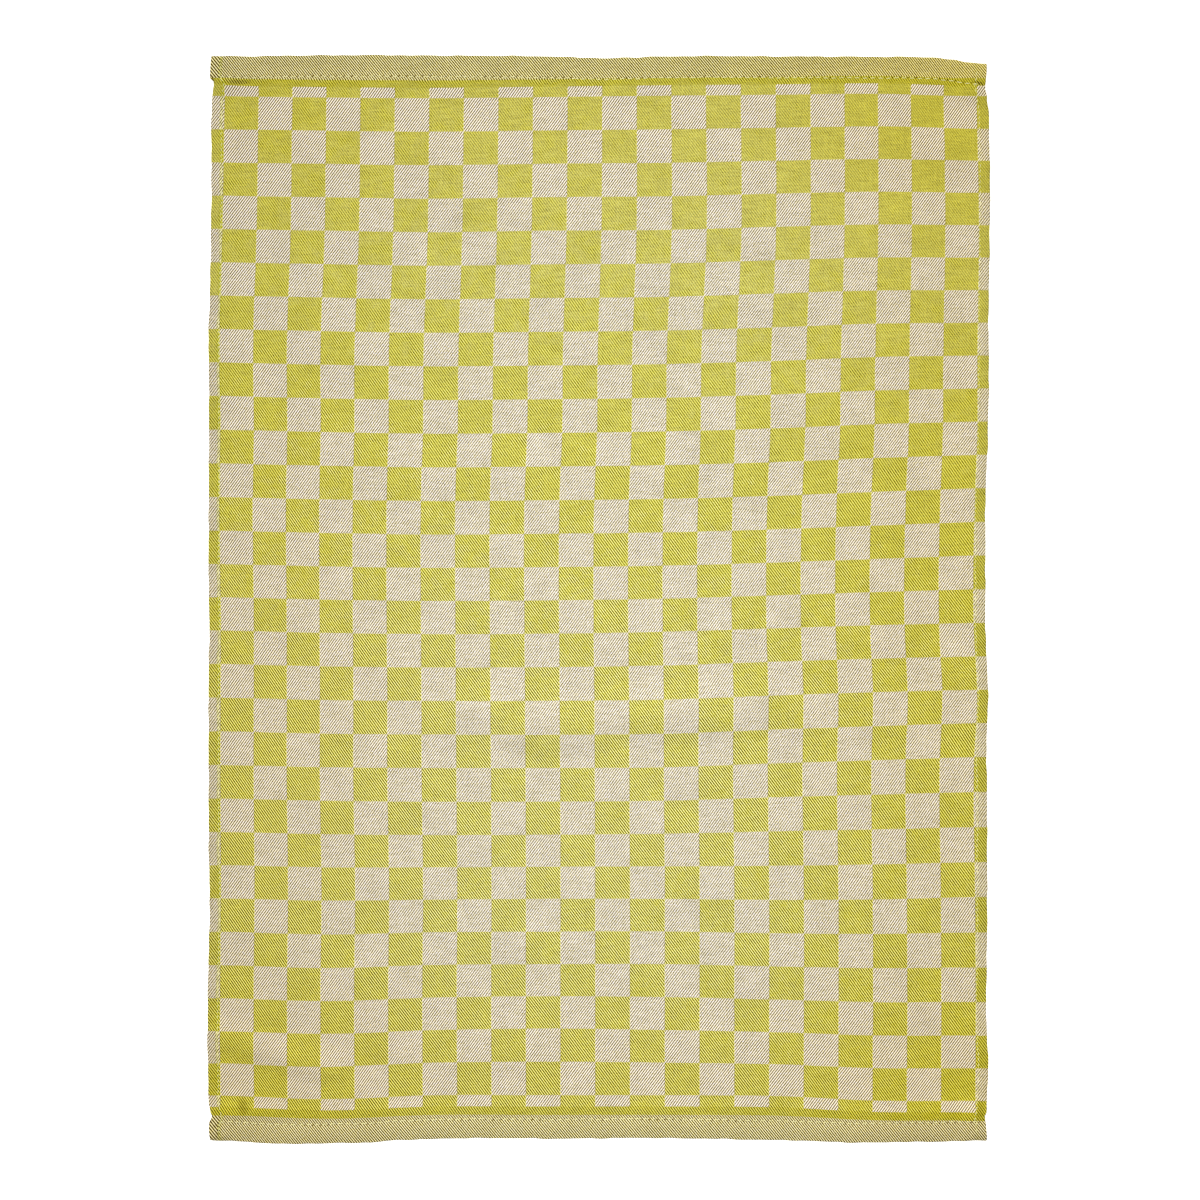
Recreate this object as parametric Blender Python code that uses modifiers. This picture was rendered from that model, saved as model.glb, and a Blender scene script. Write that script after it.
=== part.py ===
"""Tea towel: one piece of woven cotton with all four hems turned to the back, lying flat, face up.

The cloth is a grid whose columns and rows run on around each fold, so the hems are layers of the
same sheet. Solidify then gives the sheet its thickness. Metres, +Z up, the origin on the surface
that the towel lies on, under its middle. X runs across the towel and Y along it.
"""

import math

import bmesh
import bpy
import numpy as np

MM = 0.001

# Driving dimensions
WIDTH = 500 * MM            # finished towel, from side fold to side fold
LENGTH = 700 * MM           # finished towel, from end fold to end fold
CLOTH = 1.0 * MM            # thickness of the cloth
GAP = 0.3 * MM              # air between two layers of a hem
SIDE_HEM = 7 * MM           # width of the strip turned back at a side
END_HEM = 16 * MM           # width of the strip turned back at an end
CREASE_X = 5 * MM           # the pressed lengthwise crease, a little right of the middle
NOTCH = 13 * MM             # half of the nick that the crease makes in the top edge

# How far the cloth takes to come down from a hem to the surface
SIDE_RAMP = (9 * MM, 27 * MM)
END_RAMP = (18 * MM, 34 * MM)

# How far in from an edge the waves of that edge are felt
SIDE_FADE = (SIDE_HEM, 60 * MM)
END_FADE = (END_HEM, 90 * MM)

# Grid lines, as distances in from the finished edge
SIDE_LINES = (40 * MM, 24 * MM, 13 * MM, SIDE_HEM, 4 * MM)
END_LINES = (46 * MM, 32 * MM, 24 * MM, 18.5 * MM, END_HEM, 14 * MM, 8 * MM)
BACK_LINE = 8 * MM          # a row on the turned strip of an end hem
SIDE_ARC_STEPS = 5
END_ARC_STEPS = 6
CORE_COLUMNS = 10           # columns of cells on either side of the lengthwise crease
CORE_ROWS = 34

LAYER = CLOTH + GAP         # from one layer's middle to the next

# Side edges: (place along the towel, how far the edge stands out past the nominal one), in mm.
# Places past 350 are on the turned strip of the end hem, whose corner shows beside the drawn-in neck.
LEFT_EDGE = (
    (-366, -0.4), (-352, 0.4), (-339, 0.3), (-335, -0.9), (-328, -0.2), (-310, 1.0), (-290, 1.6),
    (-235, 0.9), (-50, 0.9), (-20, 0.3), (110, 0.9), (190, 0.6), (226, -0.4), (302, -0.6),
    (320, -1.2), (331.5, -2.6), (336, 0.1), (352, 0.1), (366, -1.0),
)
RIGHT_EDGE = (
    (-366, -0.6), (-352, 0.6), (-339, 0.3), (-335, -0.7), (-327, 0.6), (-300, 1.6), (-270, -0.3),
    (-90, -0.3), (-55, 0.9), (-20, -0.3), (60, -0.3), (110, 0.9), (180, 1.6), (226, 2.2),
    (302, 2.2), (317, 1.6), (331.5, -0.7), (336, 0.1), (352, 0.9), (366, 0.1),
)
# End edges: (place across the towel, how far the edge stands out), in mm
TOP_EDGE = (
    (-250, -0.6), (-236, -0.3), (-180, 0.2), (-137, 0.2), (-120, -0.4), (-60, -0.6), (-8, -1.0),
    (5, -2.4), (18, -1.0), (70, -0.5), (120, -1.0), (212, -1.4), (224, -1.8), (237, -4.3), (250, -6.0),
)
BOTTOM_EDGE = (
    (-250, -0.6), (-240, -0.8), (-200, 1.5), (-176, 1.5), (-150, 0.9), (-124, -1.0), (-85, -2.0),
    (0, -2.2), (57, -1.7), (121, -0.4), (147, 0.2), (190, 0.9), (224, -0.4), (250, -1.4),
)

# Soft folds that lift the cloth: start and end of the crest, its height and half its foot, in mm
FOLDS = (
    # name,                  x0,   y0,   x1,   y1, high, half
    ("cross fold",          -78,  -71,   98,  -71,  3.4,  26),
    ("cross fold tail",      98,  -71,  168,  -80,  1.6,  24),
    ("upper cross fold",   -160,   84,   55,   82,  1.4,  28),
    ("left cross fold",    -225,  194, -180,  194,  1.2,  24),
    ("right cross fold",     66,  194,  163,  190,  1.2,  24),
    ("right edge fold",     156,  164,  220,  162,  1.2,  24),
    ("top left swell",     -206,  298, -178,  284,  1.6,  30),
    ("right swell",          92,  122,  112,  114,  1.4,  24),
    ("low middle swell",    -44, -219,  -22, -219,  1.4,  24),
    ("low right swell",     178, -262,  198, -268,  1.4,  24),
    ("bottom left wrinkle", -238, -284, -176, -301, 2.6,  18),
    ("top right wrinkle",   186,  300,  226,  290,  2.2,  18),
)


def smooth(low, high, value):
    """0 below low, 1 above high, and a smooth S between them."""
    part = np.clip((value - low) / (high - low), 0.0, 1.0)
    return part * part * (3.0 - 2.0 * part)


def read_edge(table, place):
    """The edge's offset at each place, with a smooth step from row to row; mm in, metres out."""
    places, offsets = np.array(table).T * MM
    row = np.clip(np.searchsorted(places, place) - 1, 0, len(places) - 2)
    return offsets[row] + (offsets[row + 1] - offsets[row]) * smooth(places[row], places[row + 1], place)


def fold_height(x, y):
    """The lift of the cloth at x, y: the highest of the soft folds there, each falling from its crest
    as (1 - (distance / half foot) squared) squared, and exactly 0 past its foot."""
    lift = np.zeros_like(x)
    for _name, x0, y0, x1, y1, high, half in FOLDS:
        start = np.array((x0, y0)) * MM
        run = np.array((x1 - x0, y1 - y0)) * MM
        along = np.clip(((x - start[0]) * run[0] + (y - start[1]) * run[1]) / run.dot(run), 0.0, 1.0)
        away = np.hypot(x - start[0] - along * run[0], y - start[1] - along * run[1])
        inside = np.clip(1.0 - (away / (half * MM)) ** 2, 0.0, 1.0)
        lift = np.maximum(lift, high * MM * inside ** 2)
    return lift


def side_run():
    """One side, from the body out and around its fold: distance in from the edge, drop below the face."""
    radius = LAYER / 2
    turn = np.linspace(0.0, math.pi, SIDE_ARC_STEPS + 1)
    inset = np.concatenate((SIDE_LINES, radius - radius * np.sin(turn), [SIDE_HEM]))
    drop = np.concatenate((np.zeros(len(SIDE_LINES)), radius - radius * np.cos(turn), [LAYER]))
    return inset, drop


def end_run():
    """One end, from the body out and around its fold: distance in from the edge, and angle turned.
    The rows on the bend have no distance yet, because its radius differs across the towel."""
    turn = np.linspace(0.0, math.pi, END_ARC_STEPS + 1)
    inset = np.concatenate((END_LINES, np.full(len(turn), np.nan), [BACK_LINE, END_HEM]))
    angle = np.concatenate((np.zeros(len(END_LINES)), turn, [math.pi, math.pi]))
    return inset, angle


def columns():
    """All columns, left hem to right hem: nominal x, distance in from the nearer edge, and drop."""
    inset, drop = side_run()
    core_edge = WIDTH / 2 - 2 * SIDE_LINES[0] + SIDE_LINES[1]
    left = np.linspace(-core_edge, CREASE_X - NOTCH, CORE_COLUMNS)
    right = np.linspace(CREASE_X + NOTCH, core_edge, CORE_COLUMNS)
    core = np.concatenate((left, [CREASE_X], right))
    x = np.concatenate((-(WIDTH / 2 - inset[::-1]), core, WIDTH / 2 - inset))
    inward = np.concatenate((inset[::-1], WIDTH / 2 - np.abs(core), inset))
    return x, inward, np.concatenate((drop[::-1], np.zeros(len(core)), drop))


def rows():
    """All rows, bottom hem to top hem: sign of the end, distance in, angle, and nominal y in the core."""
    inset, angle = end_run()
    core_edge = LENGTH / 2 - 2 * END_LINES[0] + END_LINES[1]
    core = np.linspace(-core_edge, core_edge, CORE_ROWS)
    sign = np.concatenate((-np.ones(len(inset)), np.where(core < 0, -1.0, 1.0), np.ones(len(inset))))
    inward = np.concatenate((inset[::-1], LENGTH / 2 - np.abs(core), inset))
    return sign, inward, np.concatenate((angle[::-1], np.zeros(len(core)), angle))


def cloth_points():
    """The middle surface of the whole sheet, as an array of rows by columns by 3.

    Each point starts on the end profile, which is a flat run, a half circle and a flat run back, and
    moves from there by the side profile's drop along that profile's normal. So at a corner the side
    hem is rolled up inside the end hem, and the bend there is as much wider as the bundle is thicker.
    Last, the middle of the outline goes to the origin.
    """
    x, side_inset, drop = (values[None, :] for values in columns())
    sign, end_inset, angle = (values[:, None] for values in rows())

    bundle = 1.0 - smooth(*SIDE_RAMP, side_inset)
    spread = LAYER * (1.0 + 2.0 * bundle)
    radius = spread / 2
    inset = np.where(np.isnan(end_inset), radius * (1.0 - np.sin(angle)), end_inset)

    on_back = angle > math.pi / 2
    place = sign * (LENGTH / 2 - np.where(on_back, -inset, inset))
    side_wave = np.where(x < 0, read_edge(LEFT_EDGE, place), read_edge(RIGHT_EDGE, place))
    side_wave = side_wave * (1.0 - smooth(*SIDE_FADE, side_inset))
    end_wave = np.where(sign < 0, read_edge(BOTTOM_EDGE, x), read_edge(TOP_EDGE, x))
    end_wave = end_wave * (1.0 - smooth(*END_FADE, inset))

    nominal_y = sign * (LENGTH / 2 - inset)
    at_hem = 1.0 - smooth(*END_RAMP, inset)
    face = LAYER * bundle + LAYER * at_hem * (1.0 + bundle) + fold_height(x + 0 * inset, nominal_y)
    depth = radius * (1.0 - np.cos(angle))

    px = x + np.where(x < 0, -side_wave, side_wave)
    py = nominal_y + sign * (end_wave - drop * np.sin(angle))
    pz = CLOTH / 2 + face - depth - drop * np.cos(angle)
    px = px - (px.max() + px.min()) / 2
    py = py - (py.max() + py.min()) / 2
    return np.stack(np.broadcast_arrays(px, py, pz), axis=-1)


def cloth_material():
    """Cream and green cotton, seen from a distance as one soft yellow-green beige."""
    material = bpy.data.materials.new("cotton cloth")
    material.use_nodes = True
    shader = material.node_tree.nodes["Principled BSDF"]
    shader.inputs["Base Color"].default_value = (0.58, 0.52, 0.24, 1.0)
    shader.inputs["Roughness"].default_value = 0.9
    shader.inputs["Metallic"].default_value = 0.0
    return material


def cloth_object(name, points, collection):
    """A grid bent to the points, one cell between each two rows and columns, then given its thickness."""
    row_count, column_count = points.shape[:2]
    bm = bmesh.new()
    bmesh.ops.create_grid(bm, x_segments=column_count - 1, y_segments=row_count - 1, size=1.0)
    for vert in bm.verts:
        column = round((vert.co.x + 1.0) / 2.0 * (column_count - 1))
        row = round((vert.co.y + 1.0) / 2.0 * (row_count - 1))
        vert.co = points[row, column]
    mesh = bpy.data.meshes.new(name)
    bm.to_mesh(mesh)
    bm.free()
    mesh.shade_smooth()
    mesh.materials.append(cloth_material())
    cloth = bpy.data.objects.new(name, mesh)
    collection.objects.link(cloth)
    solidify = cloth.modifiers.new("cloth thickness", "SOLIDIFY")
    solidify.thickness = CLOTH
    solidify.offset = 0.0
    solidify.use_even_offset = True
    solidify.use_quality_normals = True
    return cloth


def build():
    """Clears the scene and makes the towel in its own collection."""
    for old in list(bpy.data.objects):
        bpy.data.objects.remove(old)
    collection = bpy.data.collections.new("Tea towel")
    bpy.context.scene.collection.children.link(collection)
    cloth_object("towel_cloth", cloth_points(), collection)


build()
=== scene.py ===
# %% [markdown]
# # A checked tea towel, laid out flat
#
# The real towel is one length of cotton, woven on a jacquard loom with green threads along it and
# cream threads across it. Where the green threads float on top a check looks green, and where the
# cream ones do it looks cream. The maker cuts a length, turns both long sides twice to the back
# and sews them down, then does the same with the two ends.
#
# This file builds it as it is made: the cloth with its folds and hems, then the sewing thread,
# then the weave and its colours, and last the light and the camera. Everything is in metres, with
# Z up, and stands in the frame of the CAD model that the first cell loads.

# %% Load the frame
import math
from types import SimpleNamespace

import bpy
import numpy as np
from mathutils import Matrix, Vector


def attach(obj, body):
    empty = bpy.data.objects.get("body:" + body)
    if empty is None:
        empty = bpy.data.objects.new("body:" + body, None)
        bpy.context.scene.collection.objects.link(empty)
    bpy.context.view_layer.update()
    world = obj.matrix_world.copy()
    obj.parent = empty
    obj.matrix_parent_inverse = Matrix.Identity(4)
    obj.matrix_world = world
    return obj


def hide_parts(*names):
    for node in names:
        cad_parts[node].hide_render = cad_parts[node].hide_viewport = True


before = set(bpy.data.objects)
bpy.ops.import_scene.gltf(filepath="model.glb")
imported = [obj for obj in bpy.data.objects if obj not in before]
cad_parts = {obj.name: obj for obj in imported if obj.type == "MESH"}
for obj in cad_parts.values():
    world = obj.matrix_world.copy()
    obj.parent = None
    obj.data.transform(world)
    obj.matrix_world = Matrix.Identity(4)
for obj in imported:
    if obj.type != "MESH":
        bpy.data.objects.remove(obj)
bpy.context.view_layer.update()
MM = 0.001

# %% [markdown]
# ## The sizes of the towel
#
# A towel of this shape is made to finish at 50 by 70 cm. The hems are turned twice, so each is
# three layers thick, and at a corner the three layers of the side hem are rolled up in the three
# of the end hem, nine in all. `LAYER` is the distance from the middle of one layer to the next:
# the thickness of the cloth and a little air.

# %% Driving sizes
WIDTH = 500 * MM
LENGTH = 700 * MM
CLOTH = 0.38 * MM
LAYER = 0.52 * MM
THREAD = 0.46 * MM                    # the sewing thread
BASE = CLOTH / 2 + 0.1 * MM           # the lowest layer's middle: the thread lies under it

SIDE_HEM = 7.6 * MM                   # the strip that is turned back at a side
SIDE_TUCK = 6.0 * MM                  # the raw edge folded in under it
SIDE_SEAM = 6.3 * MM                  # the stitches, in from the finished edge
END_HEM = (15.0 * MM, 16.0 * MM)      # the same three at the bottom and top ends
END_TUCK = (11.0 * MM, 12.0 * MM)
END_SEAM = (12.3 * MM, 13.7 * MM)
SIDE_STITCH = (3.45 * MM, 2.4 * MM, 0.30 * MM)    # pitch, length and lean of a stitch at the sides
END_STITCH = (5.05 * MM, 3.5 * MM, 0.08 * MM)     # and at the ends

# %% [markdown]
# ## Steps, tables and charts
#
# Nearly every shape below is a smooth step, or a smooth curve through a short table. These work on
# whole arrays at once, which is what makes numpy quick.

# %% Smooth steps and tables
def smooth(low, high, value):
    """0 below low, 1 above high; between them 3p^2 - 2p^3 of the part p of the way up."""
    part = np.clip((value - low) / (high - low), 0.0, 1.0)
    return part * part * (3.0 - 2.0 * part)


def read_table(table, place):
    """The table's value at each place: a smooth step from each row to the next. mm in, metres out."""
    places, values = np.array(table).T * MM
    row = np.clip(np.searchsorted(places, place) - 1, 0, len(places) - 2)
    return values[row] + (values[row + 1] - values[row]) * smooth(places[row], places[row + 1], place)


def curve_weights(stations, place):
    """How much each station counts at each place (places x stations), on a smooth curve through
    them all: between two stations a cubic, with the slope there that their neighbours give."""
    count = len(stations)
    left = np.clip(np.searchsorted(stations, place) - 1, 0, count - 2)
    gap = stations[left + 1] - stations[left]
    t = np.clip((place - stations[left]) / gap, 0.0, 1.0)[:, None]
    one = np.eye(count)
    slope = np.gradient(one, stations, axis=0)
    gap = gap[:, None]
    return ((1 + 2 * t) * (1 - t) ** 2 * one[left] + t * (1 - t) ** 2 * gap * slope[left]
            + t ** 2 * (3 - 2 * t) * one[left + 1] - t ** 2 * (1 - t) * gap * slope[left + 1])


def read_chart(chart, x, y):
    """The chart's value at every y (down the rows) and x (across), in metres."""
    columns = np.array(chart["x"]) * MM
    rows = np.array([row[0] for row in chart["rows"]]) * MM
    values = np.array([row[1:] for row in chart["rows"]]) * MM
    return curve_weights(rows, y) @ values @ curve_weights(columns, x).T


print("halfway up a step:", smooth(0.0, 1.0, np.array([0.5]))[0])

# %% [markdown]
# ## The outline
#
# Cloth is never quite straight. Each edge is a table of places along it and how far the edge
# stands out past its nominal line there. Beside each end hem the body is drawn in to a neck by
# the stitches, while the rolled end of the hem stays wide. Places beyond half the towel's length
# are on the strip that is turned back, whose corner peeps out beside the neck.

# %% Edge tables, in mm
LEFT_EDGE = (
    (-366, -1.0), (-352, -0.2), (-338.4, 0.1), (-335.2, -1.7), (-331.5, -0.5), (-326, 0.8), (-310, 1.1),
    (-290, 1.6), (-262, 1.4), (-245, 1.3), (-225, 0.6), (-195, 0.1), (-160, 0.8), (-50, 0.9), (-20, 0.3),
    (15, 0.9), (60, 0.8), (110, 0.6), (150, 0.7), (168, 1.1), (190, 0.1), (226, -0.6), (268, -1.0),
    (302, -0.9), (312, -0.9), (322, -1.4), (327, -1.9), (332.8, -3.3), (335.6, -0.6),
    (352, -0.9), (366, -1.8),
)
RIGHT_EDGE = (
    (-366, -0.8), (-352, 0.4), (-339, -0.2), (-335.4, -1.5), (-330, 0.3), (-322, 0.9), (-300, 1.6),
    (-270, 0.2), (-200, 0.9), (-140, 0.8), (-90, 0.4), (-66, 1.6), (-50, 1.0), (-20, -0.3), (60, -0.3),
    (110, 1.4), (140, 2.0), (180, 1.7), (226, 2.4), (268, 2.8), (302, 2.2), (319.5, 1.8), (328, 0.6),
    (334.5, -1.0),
    (338, -0.3), (352, 0.2), (366, -0.6),
)
TOP_EDGE = (
    (-250, -1.0), (-236, -1.0), (-180, -0.3), (-137, -0.1), (-120, -0.4), (-60, -0.6), (-40, -0.9),
    (-8, -1.7), (5, -2.4), (18, -1.7), (40, -1.1), (70, -0.7), (120, -1.0), (205, -1.3), (218, -1.8),
    (228, -3.2), (238, -4.9), (250, -6.0),
)
BOTTOM_EDGE = (
    (-250, -0.9), (-238, -0.2), (-219, 1.1), (-200, 2.0), (-180, 1.6), (-150, 1.1), (-124, -0.8),
    (-85, -1.8), (-55, -1.8), (-28, -1.4), (0, -1.7), (30, -2.0), (57, -1.6), (121, -0.5), (147, 0.4),
    (168, 1.2), (190, 0.7), (208, 0.6), (224, 0.3), (250, -0.7),
)
SIDE_FADE = (7 * MM, 60 * MM)         # how far in from an edge its waves are felt
END_FADE = (16 * MM, 90 * MM)


def edge_ripple(place, phase):
    """A fine wobble of an edge: three sines of 12 to 31 mm, about a tenth of a millimetre each."""
    total = np.zeros_like(place)
    for order, (length, high) in enumerate(((12.3, 0.08), (17.9, 0.12), (31.0, 0.14)), start=1):
        total = total + high * MM * np.sin(2 * math.pi * place / (length * MM) + phase * order)
    return total


# %% [markdown]
# ## Folds and creases
#
# The towel lies flat, but it was folded once, so a few soft folds still lift it by one to four
# millimetres. A cloth simulation would make folds too, but not where this towel has them, so each
# row below is a fold: the two ends of its crest, its height and half the width of its foot. Between
# the folds the cloth has a little slack, which is a sum of long sines that is kept only where it
# rises, because cloth can't sink into the surface under it.

# %% Fold table, in mm
FOLDS = (
    # x0,   y0,   x1,   y1,  high, half
    (-78,  -71,  -56,  -73,  3.0,  24),
    (-46,  -82,   -8,  -82,  4.4,  24),
    (8,    -76,   98,  -72,  3.2,  24),
    (98,   -71,  168,  -80,  1.4,  22),
    (-160,  84,   55,   82,  1.2,  26),
    (-225, 194, -180,  194,  1.0,  22),
    (66,   194,  163,  190,  1.0,  22),
    (156,  164,  220,  162,  1.0,  22),
    (-206, 298, -178,  284,  1.4,  28),
    (92,   122,  112,  114,  1.2,  22),
    (-44, -219,  -22, -219,  1.2,  22),
    (178, -262,  198, -268,  1.2,  22),
    (-238, -284, -176, -301, 2.4,  14),
    (186,  300,  226,  290,  2.0,  16),
    (-234, -320, -231, -333, 0.7,  6),
)


def fold_lift(x, y):
    """The highest fold at x, y: each falls from its crest as (1 - d^2)^2, d being the distance
    from the crest over half the foot."""
    lift = np.zeros(np.broadcast(x, y).shape)
    for x0, y0, x1, y1, high, half in FOLDS:
        run = np.array((x1 - x0, y1 - y0)) * MM
        from_x = x - x0 * MM
        from_y = y - y0 * MM
        along = np.clip((from_x * run[0] + from_y * run[1]) / run.dot(run), 0.0, 1.0)
        away = np.hypot(from_x - along * run[0], from_y - along * run[1])
        inside = np.clip(1.0 - (away / (half * MM)) ** 2, 0.0, 1.0)
        lift = np.maximum(lift, high * MM * inside ** 2)
    return lift


def slack(x, y):
    """Twelve sines of 45 to 150 mm at fixed random angles, added up and kept where they rise."""
    random = np.random.default_rng(7)
    total = np.zeros(np.broadcast(x, y).shape)
    for _ in range(12):
        angle, phase = random.uniform(0, 2 * math.pi, 2)
        length = random.uniform(45, 150) * MM
        total += np.sin(2 * math.pi * (x * math.cos(angle) + y * math.sin(angle)) / length + phase)
    return 0.10 * MM * np.maximum(total, 0.0)


# %% [markdown]
# ## A doubly turned edge as one walk
#
# Walk from the body of the cloth out to the edge and around both turns. The face runs flat to the
# edge, a half circle of radius `outer` takes it to the back, it runs in to the width of the hem, a
# small half circle of radius `inner` tucks it between, and it runs out again to the raw edge.
# Each station knows its part of the walk, its distance in from the edge where it lies flat, and
# the angle turned so far. Its rise above the back layer is the radius times 1 + cos(angle).

# %% The walk around a hem
FACE, OUTER, BACK, INNER, TUCK = range(5)


def turned_edge(face_lines, back_lines, tuck_lines, outer_steps, inner_steps):
    """The stations of the walk: part, distance in where it is flat, and angle turned."""
    outer = np.linspace(0.0, math.pi, outer_steps + 1)
    inner = np.linspace(math.pi, 2 * math.pi, inner_steps + 1)
    pieces = (
        (FACE, face_lines, np.zeros(len(face_lines))),
        (OUTER, np.zeros(len(outer)), outer),
        (BACK, back_lines, np.full(len(back_lines), math.pi)),
        (INNER, np.zeros(len(inner)), inner),
        (TUCK, tuck_lines, np.full(len(tuck_lines), 2 * math.pi)),
    )
    part = np.concatenate([np.full(len(lines), kind) for kind, lines, _ in pieces])
    return part, np.concatenate([p[1] for p in pieces]), np.concatenate([p[2] for p in pieces])


def walk(part, inset, angle, outer, inner, hem):
    """The distance in from the edge, the length of cloth past the edge, and the rise, for bends of
    radius outer and inner. On a bend the distance in is its centre's less radius times sine, and
    the length grows by radius times angle."""
    turn_in = hem - inner
    spot = np.select([part == OUTER, part == INNER],
                     [outer * (1 - np.sin(angle)), turn_in - inner * np.sin(angle)], inset)
    back_start = (math.pi - 2) * outer
    tuck_start = back_start + turn_in + math.pi * inner
    length = np.select(
        [part == FACE, part == OUTER, part == BACK, part == INNER],
        [-inset, outer * (angle - 1), back_start + inset,
         back_start + turn_in + inner * (angle - math.pi)],
        tuck_start + turn_in - inset)
    rise = np.where(part <= BACK, outer, inner) * (1 + np.cos(angle))
    return spot, length, rise


# %% [markdown]
# ## Grid lines
#
# The sheet is a grid that follows the threads. Its lines are close together at the hems, seams and
# bends and wide apart in the middle, which keeps the finished piece under 200,000 triangles.

# %% Lines across and along the towel
def hem_lines(seam, hem, tuck, near, far, body_count, outer_steps, inner_steps):
    """The stations of one hem: body lines from far to just inside the hem, lines that close up at
    the seam, and then around the turns. near is the last line before the bend."""
    by_seam = seam + np.array((0.8, 0.0, -0.8)) * MM
    body = np.linspace(far, hem + 0.6 * MM, body_count)
    out = np.linspace(seam - 2.0 * MM, near, max(3, round((seam - near) / (1.8 * MM))))
    back = np.concatenate((out[::-1], by_seam[::-1]))
    raw_edge = hem - tuck
    tuck_lines = np.linspace(hem - 0.25 * tuck, raw_edge + near, 4)
    return turned_edge(np.concatenate((body, by_seam, out)), back, tuck_lines, outer_steps, inner_steps)


def towel_lines(half, low, high, core_edge, core_count):
    """All lines from one edge to the other: sign of the half, part, distance in, and angle."""
    core = np.linspace(-core_edge, core_edge, core_count)[1:-1]
    sign = np.concatenate((-np.ones(len(low[0])), np.where(core < 0, -1.0, 1.0), np.ones(len(high[0]))))
    part = np.concatenate((low[0][::-1], np.full(len(core), FACE), high[0]))
    inset = np.concatenate((low[1][::-1], half - np.abs(core), high[1]))
    angle = np.concatenate((low[2][::-1], np.zeros(len(core)), high[2]))
    return sign, part, inset, angle


SIDE_FAR = 40 * MM                    # how far in the closer lines begin
END_FAR = 46 * MM
side = hem_lines(SIDE_SEAM, SIDE_HEM, SIDE_TUCK, near=1.0 * MM, far=SIDE_FAR,
                 body_count=12, outer_steps=6, inner_steps=4)
bottom, top = (hem_lines(*sizes, near=2.6 * MM, far=END_FAR, body_count=13, outer_steps=8, inner_steps=5)
               for sizes in zip(END_SEAM, END_HEM, END_TUCK))
ACROSS = towel_lines(WIDTH / 2, side, side, core_edge=WIDTH / 2 - SIDE_FAR, core_count=120)
ALONG = towel_lines(LENGTH / 2, bottom, top, core_edge=LENGTH / 2 - END_FAR, core_count=142)
print("grid:", len(ACROSS[0]), "columns,", len(ALONG[0]), "rows")

# %% [markdown]
# ## The drift of the weave
#
# The rows and columns of checks wander by up to 5 mm, as they do in any washed or hand-laid cloth.
# Two small charts say how far the weave lies above and to the right of a true grid, in mm.

# %% Drift charts, in mm
ROW_DRIFT = {
    "x": (-242, -175, -105, -35, 45, 115, 180, 244),
    "rows": (
        # y,    up at each x
        (-322,  1.0, -1.5,  1.0,  1.0,  1.0,  0.5, -2.5, -2.5),
        (-278, -0.5, -2.5,  0.0,  1.0,  0.0, -1.5, -3.5, -3.5),
        (-236, -1.0, -3.0, -1.0, -0.5, -0.5, -2.0, -3.0, -2.5),
        (-190, -1.0, -2.5, -2.0, -1.5, -1.5, -2.0, -1.5,  0.0),
        (-150, -1.2, -2.7, -3.3, -3.1, -2.4, -0.8,  0.4,  1.8),
        (-106, -1.0, -2.5, -3.0, -3.0, -2.5,  0.0,  2.0,  4.0),
        (-20,  -0.3, -1.9, -2.7, -2.4, -1.1,  1.1,  3.1,  4.5),
        (22,   -0.5, -2.0, -3.0, -2.5, -1.5,  0.5,  2.8,  5.0),
        (152,   0.5, -1.0, -2.0, -1.5, -0.5,  1.5,  4.0,  5.0),
        (238,   0.5, -0.5, -1.5, -0.5,  0.0,  2.0,  3.5,  3.0),
        (324,   0.1, -0.7, -1.1, -0.4,  0.5,  1.1,  1.7, -0.2),
    ),
}
COLUMN_DRIFT = {
    "x": (-242, -154, -66, 0, 67, 156, 244),
    "rows": (
        # y,    right at each x
        (-322, -0.8, -2.8, -3.0, -2.5, -1.5, -0.7, -0.8),
        (-258, -1.0, -3.2, -3.2, -2.5, -1.6, -0.4, -0.6),
        (-192, -0.5, -2.5, -3.0, -2.5, -1.5, -0.5, -1.0),
        (-106, -0.8, -3.8, -3.4, -2.8, -2.3, -1.4, -1.6),
        (-64,  -0.7, -3.7, -3.7, -3.0, -2.2, -0.6,  0.4),
        (-20,  -0.5, -4.0, -4.0, -3.5, -3.0, -2.3, -1.8),
        (66,   -1.5, -4.0, -4.0, -3.0, -2.5, -1.5, -1.0),
        (108,  -0.8, -3.0, -2.4, -1.3, -0.9,  0.5,  0.5),
        (152,  -1.5, -3.0, -2.0, -1.0, -0.5,  1.0,  0.5),
        (238,   0.5,  0.0,  0.5,  1.5,  3.0,  3.5,  1.5),
        (324,   2.0,  1.0,  1.5,  2.0,  2.5,  3.5,  0.0),
    ),
}
CHECK = (22.12 * MM, 21.5 * MM)       # one check, across and along
CHECK_ZERO = (-242.5 * MM, -321.7 * MM)   # the corner where the first full check starts

# %% [markdown]
# ## The sheet
#
# Every point starts on the end hem's walk and moves from there along that walk's normal by how
# deep it lies in the side hem. So the two hems are the same few lines of code, and a corner rolls
# up by itself: there the bends are as much wider as the bundle of layers inside them is thicker.

# %% Points and weave coordinates of the sheet
PRESS_DEPTH, PRESS_WIDTH = 0.05 * MM, 0.9 * MM    # what the stitches do to each layer
SIDE_PUFF, END_PUFF = 0.25 * MM, 0.35 * MM        # how far the hems' faces swell up
BUNDLE_FADE = (8.2 * MM, 22 * MM)     # how far in from the side the rolled-up corner is felt
HEM_FADE = (1.2 * MM, 13 * MM)        # where the face comes down again, past an end hem
SLACK_FADE = 30 * MM                  # from a flat edge to the full slack


def seam_press(spot, angle, seam):
    """How far the stitches press a layer into the hem: a bell on the seam."""
    return PRESS_DEPTH * np.exp(-((spot - seam) / PRESS_WIDTH) ** 2) * np.cos(angle)


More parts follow.
